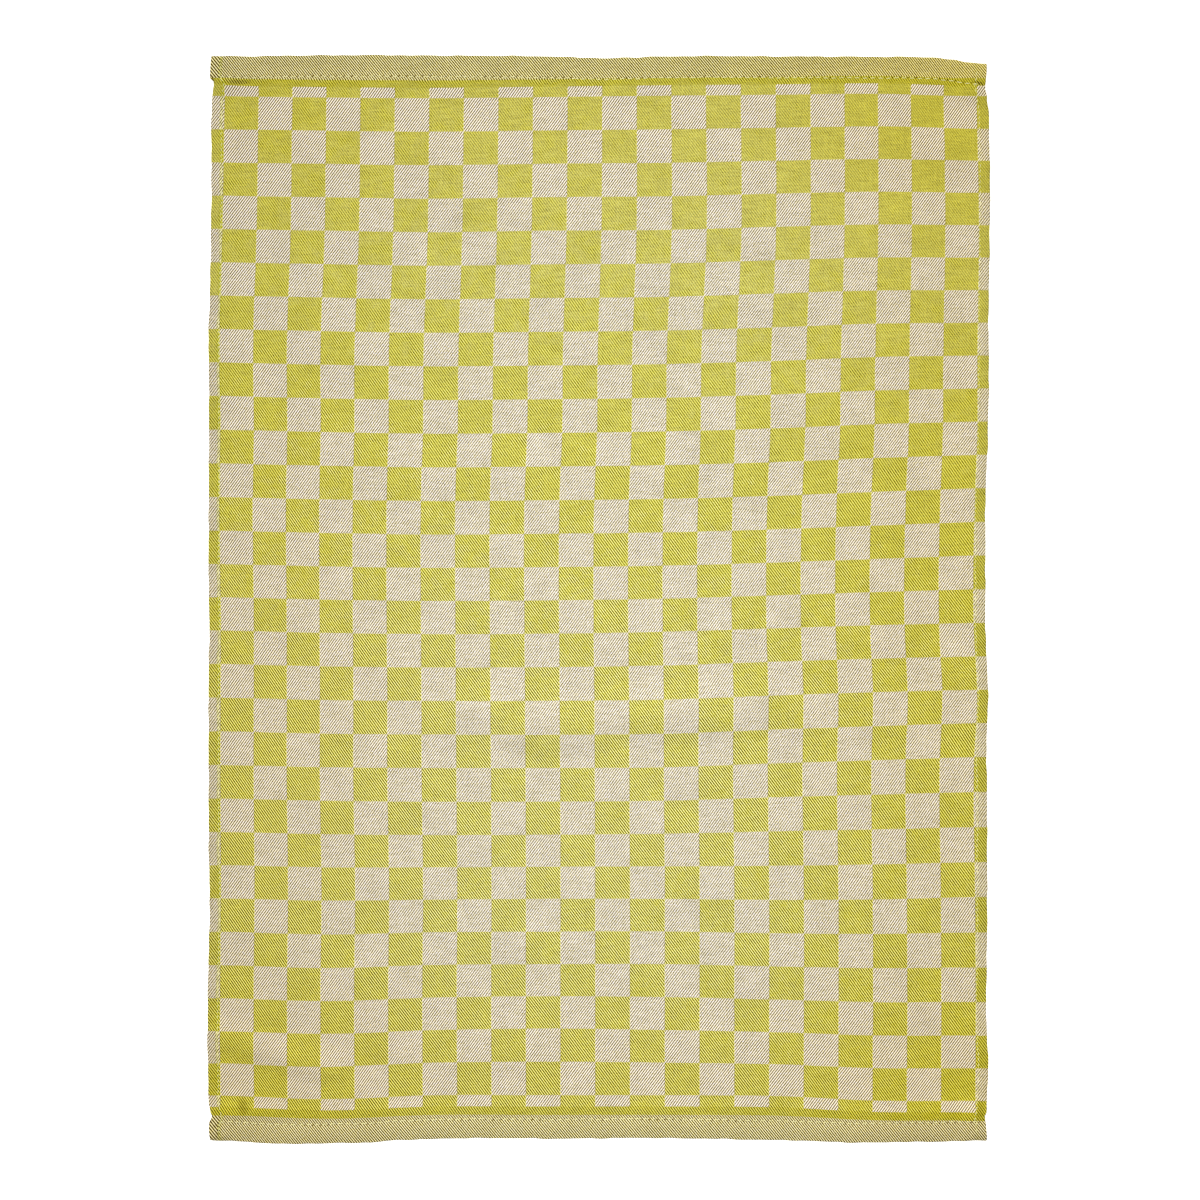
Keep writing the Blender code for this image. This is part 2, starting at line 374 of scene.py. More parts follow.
def hem_swell(spot, part, seam, puff):
    """How far the face of a hem stands up between its fold and its seam: half a sine."""
    return puff * np.sin(np.pi * np.clip(spot / seam, 0.0, 1.0)) ** 0.7 * (part == FACE)


def towel_surface():
    """Points (rows, columns, 3) of the middle of the sheet, its weave coordinates in checks, and
    how far each point lies beyond the side seam and the end seam, in mm."""
    sx, part_x, inset_x, angle_x = (line[None, :] for line in ACROSS)
    sy, part_y, inset_y, angle_y = (line[:, None] for line in ALONG)
    top = sy > 0
    hem_y = np.where(top, END_HEM[1], END_HEM[0])
    seam_y = np.where(top, END_SEAM[1], END_SEAM[0])

    spot_x, length_x, rise_x = walk(part_x, inset_x, angle_x, LAYER, LAYER / 2, SIDE_HEM)
    bundle = 1.0 - smooth(*BUNDLE_FADE, spot_x)
    outer = LAYER * (1 + 3 * bundle)
    inner = LAYER * (0.5 + 2 * bundle)
    spot_y, length_y, rise_y = walk(part_y, inset_y, angle_y, outer, inner, hem_y)
    at_hem = 1.0 - smooth(*HEM_FADE, spot_y - hem_y)
    depth = (2 * LAYER - rise_x + (part_x != TUCK) * seam_press(spot_x, angle_x, SIDE_SEAM)
             - hem_swell(spot_x, part_x, SIDE_SEAM, SIDE_PUFF) * (1 - at_hem))

    x = sx * (WIDTH / 2 - spot_x) + 0 * spot_y
    y = sy * (LENGTH / 2 - spot_y) + 0 * x
    body = 2 * LAYER * bundle * (1 - at_hem) + 2 * outer * at_hem
    level = (np.where(part_y == FACE, body, rise_y) - (part_y != TUCK) * seam_press(spot_y, angle_y, seam_y)
             + hem_swell(spot_y, part_y, seam_y, END_PUFF))
    lift = fold_lift(x, y) + slack(x, y) * smooth(0.0, SLACK_FADE, np.minimum(spot_x, spot_y))

    place = sy * (LENGTH / 2 - np.where(part_y >= BACK, -spot_y, spot_y))
    side_wave = np.where(x < 0, read_table(LEFT_EDGE, place) + edge_ripple(place, 1.0),
                         read_table(RIGHT_EDGE, place) + edge_ripple(place, 2.3))
    shift_x = np.sign(x) * side_wave * (1.0 - smooth(*SIDE_FADE, spot_x))
    end_wave = np.where(top, read_table(TOP_EDGE, x) + edge_ripple(x, 4.1),
                        read_table(BOTTOM_EDGE, x) + edge_ripple(x, 0.4))
    shift_y = sy * end_wave * (1.0 - smooth(*END_FADE, spot_y))

    points = np.stack((x + shift_x, y + shift_y - sy * depth * np.sin(angle_y),
                       BASE + level + lift - depth * np.cos(angle_y)), axis=-1)
    chart_x = x[len(x) // 2]
    chart_y = y[:, y.shape[1] // 2]
    cloth_x = sx * (WIDTH / 2 + length_x) + shift_x - read_chart(COLUMN_DRIFT, chart_x, chart_y)
    cloth_y = sy * (LENGTH / 2 + length_y) + shift_y - read_chart(ROW_DRIFT, chart_x, chart_y)
    checks = np.stack(((cloth_x - CHECK_ZERO[0]) / CHECK[0], (cloth_y - CHECK_ZERO[1]) / CHECK[1]), axis=-1)
    seams = np.stack(((SIDE_SEAM - spot_x + 0 * y) / MM, (seam_y - spot_y + 0 * x) / MM), axis=-1)
    return points, checks, seams


points, checks, seams = towel_surface()
middle = (points[..., :2].max((0, 1)) + points[..., :2].min((0, 1))) / 2
points[..., :2] -= middle
print("sheet, mm:", np.ptp(points, axis=(0, 1)).round(4) / MM, "moved by", (middle / MM).round(2))
print("checks across and along:", np.ptp(checks, axis=(0, 1)).round(1))

# %% [markdown]
# ## From arrays to a mesh
#
# The grid's faces are quads between neighbouring stations, so their corner numbers are four
# shifted copies of one array. `foreach_set` writes points, weave coordinates and seam distances
# in one go each. A Solidify modifier then gives the sheet its thickness, evenly on both sides of
# the middle, and gives the back its own material, because there green and cream change places.

# %% Build the sheet
def grid_mesh(name, points, maps):
    """A mesh of quads over a grid of points, with a UV map for each (name, rows x columns x 2)."""
    rows, columns = points.shape[:2]
    number = np.arange(rows * columns).reshape(rows, columns)
    quads = np.stack((number[:-1, :-1], number[:-1, 1:], number[1:, 1:], number[1:, :-1]), axis=-1)
    mesh = bpy.data.meshes.new(name)
    mesh.from_pydata(points.reshape(-1, 3), [], quads.reshape(-1, 4))
    corners = quads.reshape(-1)
    for map_name, values in maps:
        layer = mesh.uv_layers.new(name=map_name)
        layer.uv.foreach_set("vector", values.reshape(-1, 2)[corners].astype(np.float32).ravel())
    mesh.shade_smooth()
    return mesh


def add_piece(name, mesh):
    """An object for the mesh, at the origin."""
    piece = bpy.data.objects.new(name, mesh)
    bpy.context.scene.collection.objects.link(piece)
    return piece


sheet = add_piece("towel_sheet", grid_mesh("towel_sheet", points, (("Weave", checks), ("Seams", seams))))
thickness = sheet.modifiers.new("thickness", "SOLIDIFY")
thickness.thickness = CLOTH
thickness.offset = 0.0
thickness.use_even_offset = True
thickness.use_quality_normals = True
thickness.material_offset = 1
print("cells:", len(sheet.data.polygons), "about", 4 * len(sheet.data.polygons), "triangles when thick")

# %% [markdown]
# ## The sewing thread
#
# A lockstitch is a row of short arcs. The thread comes up through one hole, lies over the cloth
# and goes down through the next, and the lower thread does the same underneath. Each stitch is a
# small tube along the cloth's own points, so a seam rides over every fold, and it catches the light
# as a painted line would not. The stitches at the sides lean, and those at the ends are longer.

# %% Stitches along the seams
RINGS, ROUND = 7, 6                   # rings to a stitch, and points to a ring
UNDER_CLOTH, ON_FACE = -1, 1


def seam_path(across, sign, side):
    """The cloth's points along a side seam (across 0) or an end seam (across 1), left or bottom
    (sign -1) or right or top (sign 1), on the face or on the turned layer under it."""
    lines, others = (ACROSS, ALONG) if across == 0 else (ALONG, ACROSS)
    part = FACE if side == ON_FACE else BACK
    seam = SIDE_SEAM if across == 0 else END_SEAM[int(sign > 0)]
    line = np.flatnonzero((lines[0] == sign) & (lines[1] == part) & np.isclose(lines[2], seam))[0]
    along = np.flatnonzero(others[1] == FACE)
    if across == 0 and side == UNDER_CLOTH:       # it stops short of the end hem's layers
        along = along[others[2][along] > END_HEM[1] + 2 * MM]
    return points[along, line] if across == 0 else points[line, along]


def stitch_tubes(path, across, side, stitch):
    """Vertices (stitches, rings, points round, 3) of the stitches centred at whole pitches."""
    pitch, length, lean = stitch
    run = 1 - across
    low, high = path[0, run] + length, path[-1, run] - length
    centres = pitch * np.arange(math.ceil(low / pitch), math.floor(high / pitch) + 1)
    part = np.linspace(-0.5, 0.5, RINGS)
    spots = centres[:, None] + part * length
    middle = np.stack([np.interp(spots, path[:, run], path[:, axis]) for axis in range(3)], axis=-1)
    middle[..., across] += 2 * lean * part
    middle[..., 2] += side * (CLOTH / 2 + THREAD * (0.85 * np.cos(np.pi * part) - 0.5))
    middle[..., 2] = np.maximum(middle[..., 2], THREAD / 2)
    turn = 2 * math.pi * np.arange(ROUND) / ROUND - math.pi / 2
    radius = THREAD / 2 * (0.8 + 0.2 * np.cos(np.pi * part))[:, None]
    tubes = np.repeat(middle[:, :, None, :], ROUND, axis=2)
    tubes[..., across] += (-1) ** across * radius * np.cos(turn)
    tubes[..., 2] += radius * np.sin(turn)
    return tubes


def stitch_mesh(name, tubes):
    """One mesh of closed tubes, with a UV map: rings along a stitch, and turns around it."""
    count = len(tubes)
    number = np.arange(count * RINGS * ROUND).reshape(count, RINGS, ROUND)
    around = np.roll(number, -1, axis=2)
    walls = np.stack((number[:, :-1], around[:, :-1], around[:, 1:], number[:, 1:]), axis=-1).reshape(-1, 4)
    caps = np.concatenate((number[:, 0, ::-1], number[:, -1]))
    mesh = bpy.data.meshes.new(name)
    mesh.from_pydata(tubes.reshape(-1, 3), [], walls.tolist() + caps.tolist())
    corner = np.zeros(len(mesh.loops), dtype=np.int32)
    mesh.loops.foreach_get("vertex_index", corner)
    twist = np.stack((corner // ROUND % RINGS / (RINGS - 1), corner % ROUND / ROUND), axis=-1)
    mesh.uv_layers.new(name="Thread").uv.foreach_set("vector", twist.astype(np.float32).ravel())
    mesh.shade_smooth()
    return mesh


SEAMS = (("seam_left", 0, -1), ("seam_right", 0, 1), ("seam_bottom", 1, -1), ("seam_top", 1, 1))
threads = []
for name, across, sign in SEAMS:
    stitch = SIDE_STITCH if across == 0 else END_STITCH
    tubes = [stitch_tubes(seam_path(across, sign, side), across, side, stitch)
             for side in (ON_FACE, UNDER_CLOTH)]
    threads.append(add_piece(name, stitch_mesh(name, np.concatenate(tubes))))
    print(name, [len(group) for group in tubes], "stitches")

# %% [markdown]
# ## Wiring shaders like formulas
#
# A procedural cloth needs some 300 nodes, and most of them are sums. So what a node puts out is
# wrapped in a small class with Python's own signs: `a * b` adds a Multiply node and hands back its
# output. A board holds the node tree and adds the other kinds of node.

# %% Values, and a board to wire them on
class Value:
    """What a node puts out. A sign between it and a number or another value adds a Math node."""

    def __init__(self, board, socket):
        self.board = board
        self.socket = socket

    def __add__(self, other):
        return self.board.math("ADD", self, other)

    def __sub__(self, other):
        return self.board.math("SUBTRACT", self, other)

    def __rsub__(self, other):
        return self.board.math("SUBTRACT", other, self)

    def __mul__(self, other):
        return self.board.math("MULTIPLY", self, other)

    def __truediv__(self, other):
        return self.board.math("DIVIDE", self, other)

    def __lt__(self, other):
        return self.board.math("LESS_THAN", self, other)

    def __gt__(self, other):
        return self.board.math("GREATER_THAN", self, other)

    def __abs__(self):
        return self.board.math("ABSOLUTE", self)

    __radd__ = __add__
    __rmul__ = __mul__

    def floor(self):
        """The whole number below it."""
        return self.board.math("FLOOR", self)

    def fract(self):
        """What it has above that number."""
        return self.board.math("FRACT", self)


class Board:
    """A node tree to add to. What is fed to a node is a number, a colour or a value."""

    def __init__(self, tree):
        self.tree = tree

    def feed(self, node, given):
        """Feed the node's inputs, which are given by number or by name."""
        for name, value in given.items():
            socket = node.inputs[name]
            if isinstance(value, Value):
                self.tree.links.new(value.socket, socket)
            else:
                socket.default_value = (*value, 1.0) if socket.type == "RGBA" else value

    def add(self, kind, given=None, **settings):
        """Add a node, feed it, and hand back its outputs as values."""
        node = self.tree.nodes.new(kind)
        for setting, value in settings.items():
            setattr(node, setting, value)
        self.feed(node, given or {})
        return [Value(self, output) for output in node.outputs]

    def math(self, operation, *values):
        return self.add("ShaderNodeMath", dict(enumerate(values)), operation=operation)[0]

    def maximum(self, one, other):
        return self.math("MAXIMUM", one, other)

    def clamp(self, value):
        """The value, kept from 0 to 1."""
        return self.math("MINIMUM", self.maximum(value, 0.0), 1.0)

    def step(self, value, low, high, top=1.0):
        """A smooth step from 0 to top as the value goes from low to high."""
        given = dict(enumerate((value, low, high, 0.0, top)))
        return self.add("ShaderNodeMapRange", given, interpolation_type="SMOOTHSTEP")[0]

    def mix(self, part, low, high):
        """The number that lies the part's share of the way from low to high."""
        given = {0: part, 2: low, 3: high}
        return self.add("ShaderNodeMix", given, data_type="FLOAT", clamp_factor=False)[0]

    def blend(self, part, low, high, blend_type="MIX"):
        """The same for colours."""
        given = {0: part, 6: low, 7: high}
        return self.add("ShaderNodeMix", given, data_type="RGBA", blend_type=blend_type)[2]

    def tint(self, colour, tint, part=1.0):
        """The colour times the tint, as far as the part goes."""
        return self.blend(part, colour, tint, "MULTIPLY")

    def vector(self, *values):
        return self.add("ShaderNodeCombineXYZ", dict(enumerate(values)))[0]

    def split(self, vector):
        return self.add("ShaderNodeSeparateXYZ", {0: vector})

    def noise(self, vector, scale, detail=0.0, dimensions="2D"):
        """Soft noise about 0, from about -1 to 1."""
        given = {"Vector": vector, "Scale": scale, "Detail": detail}
        return self.add("ShaderNodeTexNoise", given, noise_dimensions=dimensions)[0] * 4.0 - 2.0


NUMBER, VECTOR, COLOUR = "NodeSocketFloat", "NodeSocketVector", "NodeSocketColor"


def open_group(name, inputs):
    """The board of a new shader group, and a value for each input, from name to kind."""
    board = Board(bpy.data.node_groups.new(name, "ShaderNodeTree"))
    for label, kind in inputs.items():
        board.tree.interface.new_socket(label, in_out="INPUT", socket_type=kind)
    return board, board.add("NodeGroupInput")[:len(inputs)]


def close_group(board, kinds, results):
    """Put the results out, each under its name and of its kind. The group's tree."""
    for label, kind in zip(results, kinds):
        board.tree.interface.new_socket(label, in_out="OUTPUT", socket_type=kind)
    board.add("NodeGroupOutput", results)
    return board.tree


# %% [markdown]
# ## Which weave is where
#
# The loom's card for this towel is a plain checkerboard: 52 ends and 36 picks to a check. It
# changes at the ends of the cloth: the last row of checks is only a third high, a green band
# follows, and what goes into the end hem is an even twill that looks khaki. A picture of the cloth
# would blur close up, so the pattern is worked out from thread counts, as on the loom. This first
# group reads the weave coordinates and puts out the counts, the way the twill leans and three
# masks. Seen from the back, the threads that float there are the other ones, so `Turned over` swaps
# green and cream.

# %% The loom's card
ENDS, PICKS = 52, 36                  # threads to a check, across and along
HEM_PICKS = 41                        # the khaki ends are beaten up closer
CHECK_ROWS = 30                       # full rows of checks
CHECKS_TO = (-12 / PICKS, CHECK_ROWS + 11 / PICKS)  # where the partial rows at both ends stop, in checks
GREEN_TO = (-21 / PICKS, CHECK_ROWS + 19 / PICKS)   # and where the green bands after them do
TOOTH = 0.3                           # the columns' edges wave by this much of a thread
REPEAT = 4                            # threads to a repeat of the twill


def make_card_group():
    """Green where column plus row is odd, between the bands. The columns' edges have small teeth,
    because the floats of the two twills interlock there."""
    board, (weave, turned_over) = open_group("loom_card", {"Weave": VECTOR, "Turned over": NUMBER})
    across, along, _ = board.split(weave)
    hem = board.maximum(along < GREEN_TO[0], along > GREEN_TO[1])
    band = board.maximum(along < CHECKS_TO[0], along > CHECKS_TO[1])
    picks = along * board.mix(hem, PICKS, HEM_PICKS)
    tooth = board.math("COSINE", picks * (2 * math.pi / REPEAT)) * (TOOTH / ENDS)
    odd = board.math("PINGPONG", (across + tooth).floor() + along.floor(), 1.0)
    face_green = board.maximum(odd, band)
    return close_group(board, [NUMBER] * 6, {
        "Ends": across * ENDS, "Picks": picks, "Lean": face_green * 2.0 - 1.0,
        "Green": abs(face_green - turned_over), "Band": band - hem, "Hem": hem})


card_group = make_card_group()
print("nodes in the card group:", len(card_group.nodes))

# %% [markdown]
# ## Threads and twill lines
#
# In a twill each pick is woven like the last one, but one thread further along, so the floats step
# sideways into slanted lines. The whole pattern follows from one phase: a quarter turn for each
# end, and a quarter turn for each pick, added for lines that lean one way and taken off for the
# other, which start half a repeat on, so that a light line meets a furrow at a check's border. Where
# the phase is under `Share` the green end is on top, and elsewhere the cream pick.

# %% The twill
def make_twill_group():
    """Line: 1 in the middle of the ends' floats, 0 in the middle of the picks'. End up: 1 where
    the end is on top. Bulge: the root of a sine along the float times that of a sine across it."""
    board, (ends, picks, lean, share) = open_group(
        "twill", dict.fromkeys(("Ends", "Picks", "Lean", "Share"), NUMBER))
    leans_back = 0.5 - 0.5 * lean
    start = leans_back * (REPEAT / 2)
    half_thread = 0.5 / REPEAT

    def turns(across, along):
        return (along * lean + across + start) / REPEAT

    def bulge(part):
        return board.math("SQRT", board.maximum(board.math("SINE", part * math.pi), 0.0))

    end, pick = ends.floor(), picks.floor()
    up = turns(end, pick).fract() + half_thread < share
    end_run = turns(end + leans_back, picks).fract()
    end_bulge = bulge(end_run / share) * bulge(ends.fract())
    pick_run = turns(ends, pick).fract() - share
    pick_bulge = bulge(pick_run / (1.0 - share)) * bulge(picks.fract())
    from_middle = turns(ends, picks) - (half_thread * lean + 0.5 * share)
    line = 0.5 + 0.5 * board.math("COSINE", from_middle * (2 * math.pi))
    return close_group(board, [NUMBER] * 3, {
        "Line": line, "End up": up, "Bulge": board.mix(up, pick_bulge, end_bulge)})


twill_group = make_twill_group()
print("nodes in the twill group:", len(twill_group.nodes))

# %% [markdown]
# ## The colour of the cloth
#
# Seen from a step away the threads melt together, and what the eye reads is light lines of floats
# with darker furrows between them. So each zone has three colours, for the furrow, the side and the
# crest of a line: the furrow's dark tone is painted shade between the floats, with a little of the
# other thread showing, and the crest's pale tone is a painted highlight. The shader works out one
# number from 0 to 1 that runs through them: the twill line, the bulge of the single thread, and the
# unevenness of the yarn. The green lines have less contrast near the top of this towel and more
# beside the hems, so their contrast is a value that changes by place.

# %% Tones and wrinkles
TONES = {                             # in this order: the furrow (painted shade), side and crest (painted highlight) of a line
    "cream": ((0.105, 0.078, 0.000), (0.710, 0.652, 0.505), (0.940, 0.870, 0.800)),
    "green": ((0.030, 0.012, 0.000), (0.595, 0.558, 0.006), (0.915, 0.875, 0.400)),
    "khaki": ((0.030, 0.010, 0.000), (0.545, 0.462, 0.012), (1.000, 0.950, 0.610)),
}
LOW_CONTRAST_GREEN = (0.665, 0.628, 0.150)   # the side where the green lines have little contrast
SIDE_AT = 0.75                        # where the side's tone lies on the way from furrow to crest
SQUARE = 2.0                          # a smooth line has 1; above that its crests are flat
LINE_DEPTH = 0.78                     # from furrow to crest, before the grain of the yarn
BLOCK_SPREAD = 0.85                   # in a stretched hem end there are fewer threads to a millimetre
GRAIN = (0.13, 0.10)                  # the unevenness of the yarn in cream and in green
DYE = (0.04, 0.0, -0.22)              # what an uneven dye does to red, green and blue
BAND_SHADE = (0.89, 0.88, 0.64)             # painted shade on the green bands by the end hems, in the valley beside each hem
SEAM_TINT = (0.90, 0.95, 0.50)        # along the side seams, where green shows through
STRIP_SHADE = 0.87                     # painted shade past the side seams, where the cloth bends away
HOLE_SHADE_TINT = (0.30, 0.24, 0.10)        # painted shade in the needle's holes
PUCKER_SHADE_TINT = (0.45, 0.40, 0.20)      # painted shade in the deep wrinkles beside the hems' ends
PUCKER_SHADES = (                           # x, y, half length, half width in mm, turn in degrees, depth
    (-232.0, 333.4, 10.0, 2.0, 0, 0.64),
    (-248.6, 334.8, 1.8, 2.2, 0, 0.70),
    (244.6, 332.4, 5.5, 1.3, -20, 0.60),
    (246.0, -328.0, 3.2, 7.0, 0, 0.30),
    (-229.5, -326.5, 4.2, 8.0, 15, 0.46),
    (-246.0, -338.5, 4.0, 1.2, 35, 0.50),
    (-245.5, -343.5, 1.3, 5.0, -12, 0.40),
    (-250.2, -336.0, 1.6, 1.8, 0, 0.65),
)


def pucker_shade(board, x, y):
    """The painted shade of the deepest wrinkle at x, y: each falls off as a smooth oval."""
    shade = 0.0
    for x0, y0, half_x, half_y, turn, depth in PUCKER_SHADES:
        cosine, sine = math.cos(math.radians(turn)), math.sin(math.radians(turn))
        from_x, from_y = x - x0 * MM, y - y0 * MM
        along = (from_x * cosine + from_y * sine) / (half_x * MM)
        aside = (from_y * cosine - from_x * sine) / (half_y * MM)
        shade = board.maximum(shade, board.step(along * along + aside * aside, 1.0, 0.0, depth))
    return shade


# %% [markdown]
# The masks below say where on the towel a point lies: `left`, `right`, `top` and `ends` grow from 0
# to 1 towards those edges, `past_seam` is 1 beyond a side seam, and `block` is the left end of an
# end hem, which is stretched so far that its lines lie further apart.

# %% Where a point lies, and how the lines look there
def read_places(board, place, seams, hem):
    """The masks, the place in metres, and the distances past the seams in mm."""
    x, y, _ = board.split(place)
    to_side, to_end, _ = board.split(seams)
    return SimpleNamespace(
        x=x, y=y, to_side=to_side, to_end=to_end,
        left=board.step(x, -60 * MM, -250 * MM),
        right=board.step(x, 60 * MM, 250 * MM),
        top=board.step(y, -110 * MM, 310 * MM),
        ends=board.step(abs(y), 200 * MM, 330 * MM),
        past_seam=board.step(to_side, 0.0, 1.0),
        block=hem * (to_side > 0.3) * (x < 0.0))


def line_strength(board, at, green, hem, wrinkle_shade, patches):
    """How far the twill lines stand out: about 1 as woven; the green less toward the top, and more beside
    the hems and in the painted shade of the wrinkles.
    """
    slant = 1.0 - at.x * board.mix(at.top, 0.4, 1.0)    # up to a quarter more at the left
    by_hem = board.step(abs(at.to_end), 8.0, 1.0)       # within 8 mm of an end seam
    green_lines = board.maximum(board.mix(at.top, 1.0, 0.38) * slant,
                                board.mix(at.top, 1.2, 0.75 * slant) * by_hem)
    # The painted shade of the wrinkles also deepens the green lines' furrows.
    green_lines = board.maximum(green_lines, 2.2 * wrinkle_shade)
    cream_lines = 0.83 + 0.26 * at.left + 0.17 * at.right + 0.28 * at.ends
    uneven = 1.0 + patches * board.mix(green * at.top, 0.14, 0.45)
    in_checks = board.mix(green, cream_lines, green_lines) * uneven * (1.0 - 0.15 * at.past_seam)
    in_hem = board.mix(at.top, 1.40, 0.98 - 0.8 * at.x)
    return board.mix(hem, in_checks, in_hem)


def yarn_level(board, ends, picks, green):
    """What the unevenness of each end, of each pick and along the yarn adds to the level. The
    noise is read 1.3 apart for neighbouring threads, and changes slowly along a thread."""
    end_yarn = board.noise(board.vector(ends.floor() * 1.31, picks * 0.05), 1.0)
    pick_yarn = board.noise(board.vector(ends * 0.04, picks.floor() * 1.37), 1.0)
    grain = board.noise(board.vector(ends, picks * 1.3), 0.5, 1.0)
    return 0.035 * end_yarn + 0.05 * pick_yarn + grain * board.mix(green, *GRAIN)


def line_colour(board, level, light_line, strength, green, hem):
    """The zone's colour at a level from 0 in the furrow's painted shade to 1 on the crest's painted
    highlight.
    """
    furrow_shade, side, crest = (board.blend(hem, board.blend(green, in_cream, in_green), in_khaki)
                           for in_cream, in_green, in_khaki in zip(*TONES.values()))
    to_crest = board.clamp((level - SIDE_AT) / (1 - SIDE_AT))
    on_crest = board.step(light_line, 0.5, 0.98) * board.step(strength, 0.35, 1.0)
    to_crest = board.mix(green, to_crest, on_crest * (0.6 + 0.4 * to_crest))
    side = board.blend(green * board.step(strength, 0.9, 0.3), side, LOW_CONTRAST_GREEN)
    return board.blend(to_crest, board.blend(level / SIDE_AT, furrow_shade, side), crest)


# %% [markdown]
# Over that lie the slow changes: a random mottle of brightness and uneven dye, warmer tones toward
# the edges, painted shade on the bands beside the end hems, what shows through along the seams,
# painted shade in the wrinkles and the needle's holes, and painted light on the hems that swell up
# and on the cream near the edges.

# %% The cloth's colour and height
def local_tints(board, colour, at, green, band, hem):
    """The colour with the changes that come with the place on the towel."""
    warmth = (at.ends * board.mix(at.top, 0.85, 0.65) + at.left * board.mix(at.top, 1.1, 0.5)
              + 1.15 * at.right)
    warm_blue = warmth * board.mix(hem, board.mix(green, -0.12, -0.33), -0.06)
    colour = board.tint(colour, board.vector(1.0, 1.0 - 0.033 * warmth, 1.0 + warm_blue))
    # Painted shade on the green bands, in the valley beside each end hem.
    colour = board.tint(colour, BAND_SHADE, band)
    # Past the side seams the cloth bends away: painted shade there, with less blue in the cream.
    strip_shade_part = (board.mix(at.top, 0.85, 0.45) + 0.15 * at.right) * at.past_seam * (1.0 - hem)
    strip_shade_tone = STRIP_SHADE + 0.05 * at.right * (1.0 - green)
    colour = board.tint(colour, board.vector(strip_shade_tone, strip_shade_tone, board.mix(green, 0.84, 0.95)), strip_shade_part)
    by_seam = board.step(abs(at.to_side), 1.7, 0.4)
    return board.tint(colour, SEAM_TINT, by_seam * board.mix(at.left, 0.25, 0.8))


def needle_hole_shade(board, at, patches):
    """1 in the needle's holes, where shade is painted, 0.4 mm past the end seams, which are not
    equally open everywhere. The step is taken on the square of the distance in mm."""
    pitch = END_STITCH[0]
    from_x = ((at.x / pitch).fract() - 0.5) * (pitch / MM)
    from_y = at.to_end - 0.4
    hole = board.step(from_x * from_x + from_y * from_y, 0.42, 0.08)
    return hole * board.clamp(0.75 + 0.8 * patches)


def painted_light_level(board, at, green, hem):
    """How bright a place is: painted light on hems that swell up to the light and on cream near the
    edges; also lighter on the top hem toward the right, and darker on the left end of an end hem.
    """
    swell_highlight = hem * board.step(abs(at.to_end - 2.0), 7.0, 0.0)
    cream = 1.0 - board.maximum(green, hem)
    return (0.97 + 0.06 * swell_highlight + cream * (0.035 * at.ends + 0.03 * at.right)
            + 0.14 * hem * at.top * at.right - 0.05 * at.block)


def make_cloth_group():
    """Colour, height and roughness of the cloth at each point of its weave chart."""
    board, (weave, seams, place, turned_over) = open_group(
        "cloth_colour", {"Weave": VECTOR, "Seams": VECTOR, "Place": VECTOR, "Turned over": NUMBER})
    ends, picks, lean, green, band, hem = board.add(
        "ShaderNodeGroup", {"Weave": weave, "Turned over": turned_over}, node_tree=card_group)
    at = read_places(board, place, seams, hem)
    spread = board.mix(at.block, 1.0, BLOCK_SPREAD)
    ends, picks = ends * spread, picks * spread
    share = board.mix(hem, 0.25 + 0.5 * green, 0.5)
    threads_in = {"Ends": ends, "Picks": picks, "Lean": lean, "Share": share}
    line, up, bulge = board.add("ShaderNodeGroup", threads_in, node_tree=twill_group)
    ends_light = green * (1.0 - hem)
    light_line = board.mix(ends_light, 1.0 - line, line)
    light_thread = 1.0 - abs(ends_light - up)

    patches = board.noise(place, 140.0, 1.0, "3D")
    wrinkle_shade = pucker_shade(board, at.x, at.y)
    strength = line_strength(board, at, green, hem, wrinkle_shade, patches)
    line_shape = board.clamp((light_line - 0.5) * SQUARE + 0.5)
    level = (line_shape - 0.5) * strength * LINE_DEPTH + 0.5 - 0.05 * hem
    level = level + 0.12 * (light_thread * bulge - 0.45)    # 0.45 is the bulge's middle value
    level = board.clamp(level + yarn_level(board, ends, picks, green))

    colour = line_colour(board, level, light_line, strength, green, hem)
    mottle = 1.0 + 0.045 * board.noise(place, 38.0, 2.0, "3D")
    dye = board.noise(board.vector(ends + 400.0, picks * 1.3), 0.5, 1.0)
    colour = board.tint(colour, board.vector(*(mottle + dye * part for part in DYE)))
    colour = local_tints(board, colour, at, green, band, hem)
    # Painted shade in the deep wrinkles beside the hems' ends.
    colour = board.tint(colour, PUCKER_SHADE_TINT, wrinkle_shade)
    # Painted shade in the needle's holes.
    colour = board.tint(colour, HOLE_SHADE_TINT, needle_hole_shade(board, at, patches))
    # Painted light and shade that go with the place on the towel.
    painted_light = painted_light_level(board, at, green, hem)
    colour = board.tint(colour, board.vector(painted_light, painted_light, painted_light))
    return close_group(board, (COLOUR, NUMBER, NUMBER), {
        "Colour": colour, "Height": 0.5 * bulge + 0.5 * light_line, "Roughness": 0.93 - 0.06 * level})


cloth_group = make_cloth_group()
print("nodes in the cloth group:", len(cloth_group.nodes))

# %% [markdown]
# ## Cotton, face and back
#
# Cotton is matt with a faint sheen from its fuzz. The weave's height goes through a Bump node, so
# low light catches the threads. Both sides use the same group; the back only turns it over.

# %% Cotton materials
def new_material(name):
    """A material, its board and its shader node."""
    material = bpy.data.materials.new(name)
    material.use_nodes = True
    return material, Board(material.node_tree), material.node_tree.nodes["Principled BSDF"]


